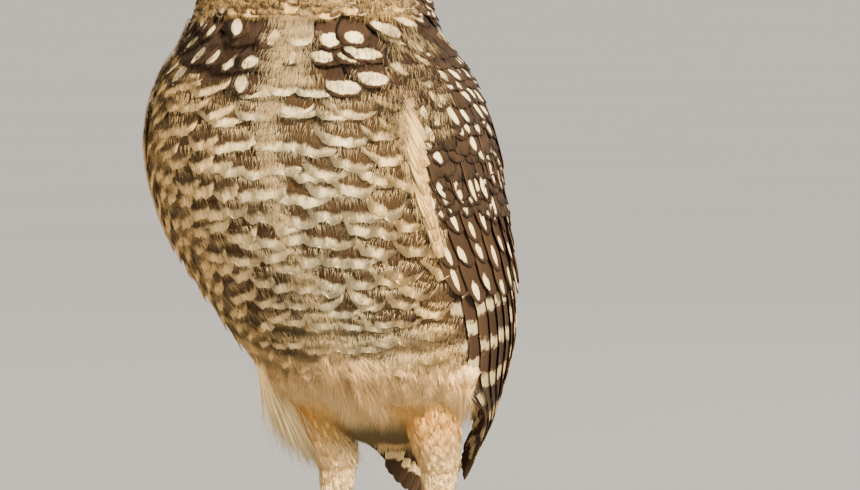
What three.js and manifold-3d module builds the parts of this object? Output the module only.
// A burrowing owl, life size, standing upright on both legs. Millimetres, +Z up.
// While it is built the bird faces -Y with its left side at +X and its feet on Z = 0; at the end the whole
// group is shifted so that the middle of the underside of its box is the origin.
import * as THREE from "three";
import { mergeVertices } from "three/addons/utils/BufferGeometryUtils.js";
import Module from "manifold-3d";

const wasm = await Module();
wasm.setup();

// Driving sizes
const GAP = 0.3; // clearance between neighbouring pieces
const HEAD_CENTRE = [-14, -28, 203];
const HEAD_HIGH = 31; // crown above the head's centre
const HEAD_TURN = 16; // degrees that the face turns to the bird's left of straight ahead
const NECK_FOOT = 166; // heights of the two cuts that part the neck from torso and head
const NECK_TOP = 177;
const EYE_RADIUS = 10;
const EYE_PLACE = { side: 14.6, front: 17, up: 2 }; // eyeball centre from the head's centre
const EYE_OUT = 12; // degrees that each eye looks outwards
const BELLY_BOTTOM = 46;
const WING_RECESS = 4.5; // how far the flank lies in under the folded wing
const VANE_THICK = 0.7;
const VANE_STEP = 0.9; // how far each tail vane lies in front of the one before
const TAIL_VANES_A_SIDE = 6;
const FLIGHT_VANES = 17;
const COVERT_VANES = 11;
const ANKLE = { left: 14.2, right: -19.4 }; // sideways places of the feet
const HEEL = 40; // height where the thigh's feathering ends and the shank begins
const FOOT_MIDDLE = -7; // how far forward the toes meet
const TOE_RADIUS = 2.5;

const rad = THREE.MathUtils.degToRad;
const mix = (a, b, t) => a + (b - a) * t;
const clamp01 = (t) => Math.min(1, Math.max(0, t));
const bell = (t) => Math.exp(-t * t);
const ease = (t) => clamp01(t) ** 2 * (3 - 2 * clamp01(t));

// Body sections from the belly up: height, middle across and in depth, half width, front depth, back depth
const TORSO_SECTIONS = [
  [44, -3.6, 4, 24, 20, 20],
  [54, -3.8, 4, 32, 27, 23.5],
  [66, -4.6, 3, 38, 36, 30],
  [80, -6.6, -3, 44.5, 41, 39],
  [96, -8.6, -13, 49.5, 43.5, 43.5],
  [112, -10.8, -20.5, 52, 45, 43.5],
  [128, -12.1, -25.5, 52.8, 46, 42.5],
  [142, -12.6, -27.3, 50, 44, 40],
  [153, -13, -28, 46, 40.5, 37.5],
  [163, -13.5, -28, 39.5, 34.8, 33.5],
  [170, -13.8, -28, 36.8, 30.8, 32.3],
  [177, -14, -28, 35.2, 28, 31.6],
  [186, -14, -28, 34.4, 26.6, 31.4],
];
// The surface that the folded wing's feathers lie on, carried on down behind the legs to the wing tips
const WING_SECTIONS = [
  [22, -5.5, 37, 12, 9, 9],
  [29, -5.5, 36.5, 14.5, 10.5, 10.5],
  [36, -5.3, 33, 18.5, 13, 13.5],
  [48, -4.8, 22, 27.5, 21, 23],
  [60, -4.6, 8, 36, 33, 35],
  [72, -5, 1, 42.3, 39, 40],
  [84, -7, -5, 47.4, 42, 43],
  [96, -8.6, -13, 50.8, 44, 45],
  [112, -10.8, -20.5, 53, 46, 45],
  [128, -12.1, -25.5, 53.6, 47, 44.5],
  [142, -12.6, -27.3, 51.6, 45, 42],
  [153, -13, -28, 47.5, 41, 38.5],
  [163, -13.5, -28, 40.5, 36, 34],
];
// Head sections from its centre: height, half width, front depth, back depth, squareness in front, turn
const HEAD_SECTIONS = [
  [-26, 35.2, 28, 31.6, 1, 0],
  [-19, 35.2, 27, 32.4, 0.95, 7],
  [-10, 36.4, 26.6, 33.2, 0.84, 15],
  [0, 37, 26.6, 33, 0.78, 16],
  [9, 36, 26.8, 31.5, 0.8, 16],
  [17, 32.2, 26, 27.5, 0.86, 16],
  [24, 25, 22.2, 21, 0.95, 16],
  [28.5, 16.2, 15.2, 13.8, 1, 16],
  [HEAD_HIGH, 3.5, 3.5, 3, 1, 16],
];
// Where each folded wing's leading edge lies round the body, in degrees from the breast: [height, degrees]
const LEADING = {
  left: [[20, 98], [34, 90], [46, 78], [58, 61], [72, 58], [98, 55], [128, 51], [142, 51], [165, 60]],
  right: [[20, 98], [34, 92], [46, 84], [58, 76], [72, 74], [98, 72], [128, 72], [142, 70], [165, 72]],
};
const TRAILING = 168;

// Smooth cubic through rows [height, ...values], with slopes from the neighbouring rows
function along(rows, height) {
  const last = rows.length - 1;
  const z = Math.min(rows[last][0], Math.max(rows[0][0], height));
  let i = 0;
  while (i < last - 1 && rows[i + 1][0] < z) i++;
  const slope = (k, c) => {
    const a = rows[Math.max(0, k - 1)];
    const b = rows[Math.min(last, k + 1)];
    return (b[c] - a[c]) / (b[0] - a[0]);
  };
  const span = rows[i + 1][0] - rows[i][0];
  const t = (z - rows[i][0]) / span;
  return rows[i].slice(1).map((value, k) => {
    const c = k + 1;
    const h1 = 2 * t ** 3 - 3 * t ** 2 + 1;
    const h2 = t ** 3 - 2 * t ** 2 + t;
    const h3 = -2 * t ** 3 + 3 * t ** 2;
    const h4 = t ** 3 - t ** 2;
    return h1 * value + h2 * span * slope(i, c) + h3 * rows[i + 1][c] + h4 * span * slope(i + 1, c);
  });
}

// A point on a body section: angle in degrees from the breast, positive to the bird's left
function sectionPoint(rows, angle, height, out) {
  const [x, y, side, front, back] = along(rows, height);
  const s = Math.sin(rad(angle));
  const c = Math.cos(rad(angle));
  const depth = c > 0 ? front : back;
  return new THREE.Vector3(x + (side + out) * s, y - (depth + out) * c, height);
}

// A geometry as a solid, its equal corners merged and its faces outwards
function solidOf(geometry) {
  geometry.deleteAttribute("normal");
  geometry.deleteAttribute("uv");
  const merged = mergeVertices(geometry, 1e-4);
  const triVerts = new Uint32Array(merged.index.array);
  const build = () => {
    const vertProperties = merged.attributes.position.array;
    return new wasm.Manifold(new wasm.Mesh({ numProp: 3, vertProperties, triVerts }));
  };
  const made = build();
  if (made.volume() > 0) return made;
  for (let i = 0; i < triVerts.length; i += 3) {
    [triVerts[i + 1], triVerts[i + 2]] = [triVerts[i + 2], triVerts[i + 1]];
  }
  return build();
}

// Vertices and triangles to a solid
function toSolid(points, triangles) {
  return solidOf(new THREE.BufferGeometry().setFromPoints(points).setIndex(triangles));
}

// A closed skin of rings: ring(v, k) gives point k of the ring at v; both ends are capped from their middles
function ringSolid(steps, sides, ring) {
  const points = [];
  for (let j = 0; j <= steps; j++) {
    for (let k = 0; k < sides; k++) points.push(ring(j / steps, k / sides));
  }
  const middle = (first) => {
    const sum = new THREE.Vector3();
    for (let k = 0; k < sides; k++) sum.add(points[first + k]);
    return sum.divideScalar(sides);
  };
  const bottom = points.push(middle(0)) - 1;
  const top = points.push(middle(steps * sides)) - 1;
  const triangles = [];
  for (let k = 0; k < sides; k++) {
    const n = (k + 1) % sides;
    triangles.push(bottom, n, k, top, steps * sides + k, steps * sides + n);
    for (let j = 0; j < steps; j++) {
      const a = j * sides + k;
      const b = j * sides + n;
      triangles.push(a, b, b + sides, a, b + sides, a + sides);
    }
  }
  return toSolid(points, triangles);
}

// A tube along a curve with an oval section that changes along it
function tube(curve, steps, sides, halfAcross, halfHigh, across = new THREE.Vector3(1, 0, 0)) {
  return ringSolid(steps, sides, (v, k) => {
    const ahead = curve.getTangent(v);
    const high = new THREE.Vector3().crossVectors(ahead, across).normalize();
    const wide = new THREE.Vector3().crossVectors(high, ahead).normalize();
    const turn = 2 * Math.PI * k;
    return curve.getPoint(v)
      .addScaledVector(wide, halfAcross(v) * Math.cos(turn))
      .addScaledVector(high, halfHigh(v) * Math.sin(turn));
  });
}

function sphere(centre, radius, wide = 24, high = 16) {
  return solidOf(new THREE.SphereGeometry(radius, wide, high).translate(...centre));
}

// A box between two corners, used only to cut with
function block(low, high) {
  const size = high.map((h, i) => h - low[i]);
  return solidOf(new THREE.BoxGeometry(...size).translate(...low.map((l, i) => l + size[i] / 2)));
}

// The largest closed surface of a solid
function largest(solid) {
  return solid.decompose().reduce((a, b) => (a.volume() > b.volume() ? a : b));
}

function joined(pieces) {
  return pieces.reduce((a, b) => a.add(b));
}

// Torso and neck: stacked sections, rounded off under the belly, lying in where the wings fold over them
function leadingEdge(side, height) {
  return along(LEADING[side], height)[0];
}

function bodyPoint(angle, height, grow) {
  const turned = ((angle + 540) % 360) - 180;
  const side = turned > 0 ? "left" : "right";
  const past = (Math.abs(turned) - leadingEdge(side, height) + 8) / 8;
  const under = ease(past) * ease((180 - Math.abs(turned)) / 10) * ease((163 - height) / 12);
  const drop = 67 - BELLY_BOTTOM + 2 * grow;
  const round = height < 66 ? Math.sqrt(Math.max(0.0009, 1 - ((66 - height) / drop) ** 2)) : 1;
  const full = sectionPoint(TORSO_SECTIONS, angle, height, grow - WING_RECESS * under);
  const [x, y] = along(TORSO_SECTIONS, height);
  full.x = mix(x, full.x, round);
  full.y = mix(y, full.y, round);
  return full;
}

function bodyLoft(low, high, steps, sides, grow) {
  return ringSolid(steps, sides, (v, k) => {
    const eased = low < 60 ? v ** 1.35 : v;
    return bodyPoint(360 * k, mix(low, high, eased), grow);
  });
}

// Head: an egg flattened in front, with brows, a dish round each eye, a ridge down to the bill and a ruff
const headMatrix = new THREE.Matrix4()
  .makeTranslation(...HEAD_CENTRE)
  .multiply(new THREE.Matrix4().makeRotationZ(rad(HEAD_TURN)));
const headPlace = (x, y, z) => new THREE.Vector3(x, y, z).applyMatrix4(headMatrix);

function faceRelief(x, z) {
  const fromEye = Math.hypot(Math.abs(x) - EYE_PLACE.side, z - EYE_PLACE.up);
  const browHeight = 13.5 - 0.012 * (Math.abs(x) - 13) ** 2;
  const fromMiddle = Math.hypot(x / 1.12, z + 2);
  return (
    3.4 * bell(x / 4.6) * bell((z + 1) / 13) -
    2.6 * bell(fromEye / 9.5) +
    2.4 * bell((z - browHeight) / 3.6) * ease((27 - Math.abs(x)) / 8) +
    1.6 * bell((fromMiddle - 27) / 4)
  );
}

function headPoint(angle, rise) {
  const [side, front, back, square, turn] = along(HEAD_SECTIONS, rise);
  const around = rad(angle) - 0.4 * Math.sin(rad(angle));
  const s = Math.sin(around);
  const c = Math.cos(around);
  const power = c > 0 ? square : 1;
  const x = side * Math.sign(s) * Math.abs(s) ** power;
  let y = -(c > 0 ? front : back) * Math.sign(c) * Math.abs(c) ** power;
  y -= faceRelief(x, rise) * ease((-y - 12) / 9) * ease((rise + 24) / 8);
  const lag = rad(turn - HEAD_TURN);
  return headPlace(x * Math.cos(lag) - y * Math.sin(lag), x * Math.sin(lag) + y * Math.cos(lag), rise);
}

function headShape(steps, sides) {
  const low = NECK_TOP - HEAD_CENTRE[2];
  return ringSolid(steps, sides, (v, k) => {
    const rise = mix(low, HEAD_HIGH, v < 0.8 ? v : 1 - 5 * (1 - v) ** 2);
    return headPoint(360 * k, Math.min(rise, HEAD_HIGH - 0.05));
  });
}

function eyeCentre(sign) {
  return headPlace(sign * EYE_PLACE.side, -EYE_PLACE.front, EYE_PLACE.up);
}

// The lids: one ring round each eye's opening, thicker above
function lidRing(sign) {
  const out = rad(EYE_OUT * sign);
  const ahead = new THREE.Vector3(Math.sin(out), -Math.cos(out), 0.04).normalize();
  const sideways = new THREE.Vector3(0, 0, 1).cross(ahead).normalize();
  const upwards = new THREE.Vector3().crossVectors(ahead, sideways);
  const centre = new THREE.Vector3(sign * EYE_PLACE.side, -EYE_PLACE.front, EYE_PLACE.up);
  const points = [];
  const around = 20;
  const sides = 5;
  for (let i = 0; i < around; i++) {
    const a = (2 * Math.PI * i) / around;
    const outwards = sideways.clone().multiplyScalar(Math.cos(a)).addScaledVector(upwards, Math.sin(a));
    const thick = 1.15 + 0.35 * Math.sin(a);
    const ringRadius = 7.6 - 0.7 * clamp01(Math.sin(a));
    for (let k = 0; k < sides; k++) {
      const b = (2 * Math.PI * k) / sides;
      const p = centre.clone().addScaledVector(ahead, 7.5 + thick * Math.sin(b));
      p.addScaledVector(outwards, ringRadius + thick * Math.cos(b));
      points.push(headPlace(p.x, p.y, p.z));
    }
  }
  const triangles = [];
  for (let i = 0; i < around; i++) {
    for (let k = 0; k < sides; k++) {
      const a = i * sides + k;
      const b = i * sides + ((k + 1) % sides);
      const c = ((i + 1) % around) * sides + ((k + 1) % sides);
      const d = ((i + 1) % around) * sides + k;
      triangles.push(a, b, c, a, c, d);
    }
  }
  return toSolid(points, triangles);
}

// Bill: cere, hooked upper half and the lower half under it, in head coordinates
const upperBillLine = new THREE.CubicBezierCurve3(
  headPlace(0, -21, -2.6), headPlace(0, -31.5, -1.4), headPlace(0, -35.4, -5.4), headPlace(0, -32.6, -13.4));
const lowerBillLine = new THREE.CubicBezierCurve3(
  headPlace(0, -20, -7.9), headPlace(0, -25, -8.3), headPlace(0, -29, -9), headPlace(0, -31, -11));
const acrossHead = headPlace(1, 0, 0).sub(headPlace(0, 0, 0));

function stretch(curve, from, to) {
  const piece = new THREE.Curve();
  piece.getPoint = (v) => curve.getPoint(mix(from, to, v));
  piece.getTangent = (v) => curve.getTangent(mix(from, to, v));
  return piece;
}

function upperBill(from, to, steps, grow) {
  const at = (v) => mix(from, to, v);
  const wide = (v) => 4.2 * (1 - at(v)) ** 0.62 + 0.25 + grow;
  const high = (v) => 3.8 * (1 - at(v)) ** 0.8 + 0.25 + grow;
  return tube(stretch(upperBillLine, from, to), steps, 14, wide, high, acrossHead);
}

function lowerBill(grow) {
  const wide = (v) => 3.3 * (1 - v) ** 0.5 + 0.3 + grow;
  const high = (v) => 1.9 * (1 - v) ** 0.5 + 0.3 + grow;
  return tube(lowerBillLine, 7, 12, wide, high, acrossHead);
}

// Folded wing, laid out by height and by degrees round the body. sign is 1 on the left, -1 on the right
function wingPoint(side, angle, height, out) {
  const sign = side === "left" ? 1 : -1;
  return sectionPoint(WING_SECTIONS, sign * angle, height, out);
}

// The wing's arm: a lens that lies over the flank from shoulder to wrist and thins out to its rim
function wingArm(side) {
  const columns = 10;
  const rows = 7;
  const points = [];
  const place = (p, q, face) => {
    const height = mix(109, 162, q);
    const middle = mix(leadingEdge(side, height) + 2, TRAILING, 0.5);
    const half = (TRAILING - leadingEdge(side, height) - 2) / 2;
    const narrow = Math.sqrt(clamp01(1 - (2 * q - 1) ** 6)) * 0.97 + 0.03;
    const rim = clamp01(1 - Math.max(Math.abs(2 * p - 1), Math.abs(2 * q - 1)) ** 4);
    const inner = mix(-0.2, -3.2 - 1.2 * rim, ease((162 - height) / 16));
    const out = face > 0 ? inner + 0.6 + (0.4 - inner) * rim : inner;
    return wingPoint(side, middle + (2 * p - 1) * half * narrow, height, out);
  };
  for (const face of [1, -1]) {
    for (let j = 0; j <= rows; j++) {
      for (let i = 0; i <= columns; i++) points.push(place(i / columns, j / rows, face));
    }
  }
  const size = (columns + 1) * (rows + 1);
  const at = (i, j, f) => f * size + j * (columns + 1) + i;
  const triangles = [];
  const quad = (a, b, c, d) => triangles.push(a, b, c, a, c, d);
  for (let j = 0; j < rows; j++) {
    for (let i = 0; i < columns; i++) {
      quad(at(i, j, 0), at(i + 1, j, 0), at(i + 1, j + 1, 0), at(i, j + 1, 0));
      quad(at(i, j, 1), at(i, j + 1, 1), at(i + 1, j + 1, 1), at(i + 1, j, 1));
    }
  }
  for (let i = 0; i < columns; i++) {
    quad(at(i, 0, 0), at(i, 0, 1), at(i + 1, 0, 1), at(i + 1, 0, 0));
    quad(at(i, rows, 1), at(i, rows, 0), at(i + 1, rows, 0), at(i + 1, rows, 1));
  }
  for (let j = 0; j < rows; j++) {
    quad(at(0, j, 1), at(0, j, 0), at(0, j + 1, 0), at(0, j + 1, 1));
    quad(at(columns, j, 0), at(columns, j, 1), at(columns, j + 1, 1), at(columns, j + 1, 0));
  }
  return toSolid(points, triangles);
}

// A feather's vane as a closed strip: six points round each of its rows, the same split on both faces.
// place(t, w, h) puts the point at share t of its length, w across the shaft and h above the middle sheet
function vane(rows, place, lead, trail, thick) {
  return ringSolid(rows.length - 1, 6, (v, k) => {
    const t = rows[Math.round(v * (rows.length - 1))];
    const corner = Math.round(k * 6);
    const column = [-1, 0, 1, 1, 0, -1][corner];
    const face = corner < 3 ? 1 : -1;
    const round = t > 0.8 ? Math.sqrt(1 - 0.97 * ((t - 0.8) / 0.2) ** 2) : 1;
    const w = column < 0 ? -lead(t) * round : column * trail(t) * round;
    const half = (column === 0 ? thick : thick * 0.75) / 2;
    return place(t, w, face * half);
  });
}

// The folded wing's feathers in tiers. count is how many fill the wing's width at a height, last is the last
// one's number, tip gives each one's end, out is the tier's height over the carrying surface
const TRAILING_EDGE = [
  [20, 134], [29, 138], [36, 143], [46, 147], [58, 151], [72, 158], [98, 167], [165, 168],
];
const FLIGHT_COUNT = [[28, 4.2], [36, 5.7], [46, 8], [58, 10.6], [72, 14], [98, 17.6], [170, 17.6]];
const FLIGHT_TIPS = [52, 37, 30, 29, 31, 34.5, 39, 43.5, 48, 53, 58, 62, 66, 70, 74, 79, 86];
const TIERS = [
  {
    count: (z) => along(FLIGHT_COUNT, z)[0],
    last: FLIGHT_VANES - 1,
    base: 117,
    tip: (i) => FLIGHT_TIPS[i],
    out: [-3, -2.6],
    lead: 0.82,
    trail: 1.1,
    rows: [0, 0.4, 0.75, 0.93, 1],
  },
  {
    count: () => COVERT_VANES,
    last: COVERT_VANES - 1,
    base: 125,
    tip: (i) => mix(87, 96, i / (COVERT_VANES - 1)),
    out: [-0.9, -0.2],
    lead: 0.66,
    trail: 0.74,
    rows: [0, 0.45, 0.86, 1],
  },
];

function wingVane(side, tier, i) {
  const span = (height) => along(TRAILING_EDGE, height)[0] - leadingEdge(side, height);
  const perDegree = (height) => 0.0168 * along(WING_SECTIONS, height)[2];
  const heightAt = (t) => mix(tier.base, tier.tip(i), t);
  const pitch = (t) => (span(heightAt(t)) * perDegree(heightAt(t))) / tier.count(heightAt(t));
  const place = (t, w, h) => {
    const height = heightAt(t);
    const free = ease(t / 0.4);
    const lift = (VANE_THICK + 0.35) / pitch(t);
    const share = (i + 0.55) / tier.count(height);
    const angle = leadingEdge(side, height) + span(height) * share + w / perDegree(height);
    const sheet = mix(-3, mix(tier.out[0], tier.out[1], t), free);
    return wingPoint(side, angle, height, sheet - mix(0.3, 1, free) * lift * w + h);
  };
  const wide = (t) => pitch(t) * mix(0.45, 1, clamp01(t / 0.4));
  return vane(tier.rows, place, (t) => tier.lead * wide(t), (t) => tier.trail * wide(t), VANE_THICK);
}

function wing(side, torsoGrown) {
  const vanes = [];
  for (const tier of TIERS) {
    for (let i = 0; i <= tier.last; i++) vanes.push(wingVane(side, tier, i));
  }
  return largest(joined([wingArm(side), ...vanes]).subtract(torsoGrown));
}

// Tail: a block under the rump with the vanes rooted in it, the middle pair rearmost and the others in steps
// in front of it to each side
function tail(torsoGrown) {
  const root = new THREE.Vector3(-4, 31, 72);
  const end = new THREE.Vector3(-6, 37, 24);
  const rootLine = new THREE.LineCurve3(root, root.clone().lerp(end, 0.45));
  const rootBlock = tube(rootLine, 2, 12, (v) => mix(7.5, 8.5, v), (v) => mix(3.6, 3, v));
  const down = end.clone().sub(root);
  const front = new THREE.Vector3(0, -0.992, -0.124);
  const vanes = [];
  for (const side of [1, -1]) {
    for (let n = 0; n < TAIL_VANES_A_SIDE; n++) {
      const level = n === 0 && side > 0 ? 0 : VANE_STEP * (n + 1);
      const long = 1 - 0.006 * n * n;
      const place = (t, w, h) => root.clone()
        .addScaledVector(down, mix(0.2, long, t))
        .add(new THREE.Vector3(side * (mix(0.9, 1.85, t) * (n + 0.5) + w), 0, 0))
        .addScaledVector(front, (level - 2.7) * ease(t / 0.45) + h);
      const inner = n === 0 ? 4 : mix(2.1, 3.2, n / 5);
      vanes.push(vane([0, 0.45, 0.75, 0.93, 1], place, () => inner, () => 3.3, VANE_THICK - 0.1));
    }
  }
  return largest(joined([rootBlock, ...vanes]).subtract(torsoGrown));
}

// Legs: feathered thigh, feathered shank, bare toes and claws
function thigh(side, torsoGrown) {
  const x = ANKLE[side];
  const lean = side === "left" ? -0.5 : -3.2;
  const line = new THREE.QuadraticBezierCurve3(
    new THREE.Vector3(x + lean * 1.2, -6, 66),
    new THREE.Vector3(x + lean, -4, 50),
    new THREE.Vector3(x + 0.4, 1, 36),
  );
  const full = side === "left" ? 11 : 9;
  const shape = tube(line, 6, 14, (v) => mix(full, 6, v ** 0.9), (v) => mix(13, 6.4, v ** 0.8));
  const below = block([x - 30, -60, 0], [x + 30, 60, HEEL + GAP]);
  return largest(shape.subtract(torsoGrown).subtract(below));
}

function shankLine(side) {
  const x = ANKLE[side];
  return new THREE.QuadraticBezierCurve3(
    new THREE.Vector3(x + 0.4, 1, 44),
    new THREE.Vector3(x, 1, 26),
    new THREE.Vector3(x, FOOT_MIDDLE + 2, 7.4),
  );
}

function shank(side) {
  const shape = tube(shankLine(side), 8, 12, (v) => mix(5.8, 3.1, ease(v)), (v) => mix(6.2, 3.3, ease(v)));
  const above = block([-90, -90, HEEL], [90, 90, 90]);
  const below = block([-90, -90, -5], [90, 90, 7.6]);
  return largest(shape.subtract(above).subtract(below));
}

const TOES = [
  { name: "inner", turn: -26, long: 17, claw: 8.5 },
  { name: "middle", turn: 2, long: 21, claw: 9 },
  { name: "outer", turn: 38, long: 17.5, claw: 8 },
  { name: "hind", turn: 172, long: 11, claw: 7.5 },
];

// One toe's middle line, from the ankle pad forwards to where its claw starts. out is 1 on the left foot
function toeLine(side, toe) {
  const out = side === "left" ? 1 : -1;
  const turn = rad(toe.turn * out);
  const start = new THREE.Vector3(ANKLE[side], FOOT_MIDDLE, 4.2);
  const ahead = new THREE.Vector3(Math.sin(turn), -Math.cos(turn), 0);
  const at = (far, high) => start.clone().addScaledVector(ahead, far).setZ(high);
  const bends = [at(toe.long * 0.35, 3.6), at(toe.long * 0.7, 1.9)];
  return { line: new THREE.CubicBezierCurve3(start, ...bends, at(toe.long, 2.3)), ahead, at };
}

function foot(side) {
  const toes = TOES.map((toe) => {
    const { line, ahead } = toeLine(side, toe);
    const across = new THREE.Vector3(-ahead.y, ahead.x, 0);
    const knuckle = (v) => TOE_RADIUS * (1.06 - 0.2 * v + 0.1 * Math.cos(6 * Math.PI * v));
    return tube(line, 8, 8, knuckle, (v) => knuckle(v) * 0.95, across);
  });
  const x = ANKLE[side];
  const low = new THREE.Vector3(x, FOOT_MIDDLE + 1.4, 1);
  const high = new THREE.Vector3(x, FOOT_MIDDLE + 2, 7.3);
  const pad = tube(new THREE.LineCurve3(low, high), 3, 12, (v) => mix(4.2, 3.1, v), (v) => mix(4.4, 3.3, v));
  const under = block([-80, -80, -20], [80, 80, 0]);
  return largest(joined([pad, ...toes]).subtract(under));
}

function claw(side, toe) {
  const { line, ahead, at } = toeLine(side, toe);
  const end = line.getTangent(1);
  const from = at(toe.long, 2.3).addScaledVector(end, GAP);
  const bend = from.clone().addScaledVector(end, toe.claw * 0.5).setZ(3.4);
  const tip = at(toe.long + toe.claw, 0.45);
  const curve = new THREE.QuadraticBezierCurve3(from, bend, tip);
  const across = new THREE.Vector3(-ahead.y, ahead.x, 0);
  const thick = (v) => 1.5 * (1 - v) ** 0.75 + 0.18;
  const shape = tube(curve, 5, 7, (v) => thick(v) * 0.85, thick, across);
  return largest(shape.subtract(block([-80, -80, -20], [80, 80, 0])));
}

// Finishes as [colour, roughness]
const FINISH = {
  barred: ["#b89a72", 0.9],
  spotted: ["#5f4a33", 0.85],
  buff: ["#dcc193", 0.9],
  horn: ["#b3ad84", 0.4],
  iris: ["#e8c21c", 0.08],
  skin: ["#8b8172", 0.7],
  claw: ["#2b2622", 0.35],
};

function named(name, finish, solid) {
  const { vertProperties, triVerts, numProp } = solid.getMesh();
  const count = vertProperties.length / numProp;
  const points = new Float32Array(count * 3);
  for (let i = 0; i < count; i++) points.set(vertProperties.subarray(i * numProp, i * numProp + 3), i * 3);
  const geometry = new THREE.BufferGeometry();
  geometry.setAttribute("position", new THREE.BufferAttribute(points, 3));
  geometry.setIndex(new THREE.BufferAttribute(new Uint32Array(triVerts), 1));
  geometry.computeVertexNormals();
  const [color, roughness] = FINISH[finish];
  const mesh = new THREE.Mesh(geometry, new THREE.MeshStandardMaterial({ color, roughness, metalness: 0 }));
  mesh.name = name;
  return mesh;
}

function buildHead() {
  const skull = headShape(18, 34);
  const lids = [lidRing(1), lidRing(-1)];
  const sockets = [1, -1].map((sign) => sphere(eyeCentre(sign).toArray(), EYE_RADIUS + GAP, 18, 11));
  const bills = [upperBill(0, 1, 10, GAP), lowerBill(GAP)];
  let head = joined([skull, ...lids]);
  for (const cut of [...sockets, ...bills]) head = head.subtract(cut);
  return largest(head);
}

function buildBill() {
  const sockets = [1, -1].map((sign) => sphere(eyeCentre(sign).toArray(), EYE_RADIUS + GAP));
  const keepClear = (solid) => largest(sockets.reduce((a, b) => a.subtract(b), solid));
  const nostrils = [1, -1].map((sign) => sphere(headPlace(sign * 2.9, -30.4, -1.7).toArray(), 1.0, 8, 6));
  const cere = nostrils.reduce((a, b) => a.subtract(b), upperBill(0.15, 0.4, 3, 0.25));
  const upper = upperBill(0.425, 1, 8, 0);
  const lower = lowerBill(0).subtract(upperBill(0, 1, 10, GAP + 0.25));
  return [["cere", keepClear(cere)], ["bill_upper", largest(upper)], ["bill_lower", keepClear(lower)]];
}

const group = new THREE.Group();
const add = (name, finish, solid) => group.add(named(name, finish, solid));

const torsoGrown = bodyLoft(BELLY_BOTTOM - 0.9, NECK_FOOT, 20, 36, GAP + 0.1);
add("torso", "barred", bodyLoft(BELLY_BOTTOM, NECK_FOOT, 20, 36, 0));
const neckPoint = (v, k) => bodyPoint(360 * k, mix(NECK_FOOT + GAP, NECK_TOP - GAP, v), 0);
add("neck", "spotted", ringSolid(2, 34, neckPoint));
add("head", "spotted", buildHead());
for (const [name, solid] of buildBill()) add(name, "horn", solid);
for (const [side, sign] of [["left", 1], ["right", -1]]) {
  add("eye_" + side, "iris", sphere(eyeCentre(sign).toArray(), EYE_RADIUS, 18, 11));
  add("wing_" + side, "spotted", wing(side, torsoGrown));
  const upperLeg = thigh(side, torsoGrown);
  add("thigh_" + side, "buff", upperLeg);
  add("shank_" + side, "buff", shank(side));
  add("foot_" + side, "skin", foot(side));
  for (const toe of TOES) add("claw_" + side + "_" + toe.name, "claw", claw(side, toe));
}
add("tail", "spotted", tail(torsoGrown));

// The origin goes to the middle of the underside of the whole bird's box
const whole = new THREE.Box3().setFromObject(group);
const centre = whole.getCenter(new THREE.Vector3());
group.position.set(-centre.x, -centre.y, -whole.min.z);

export default group;
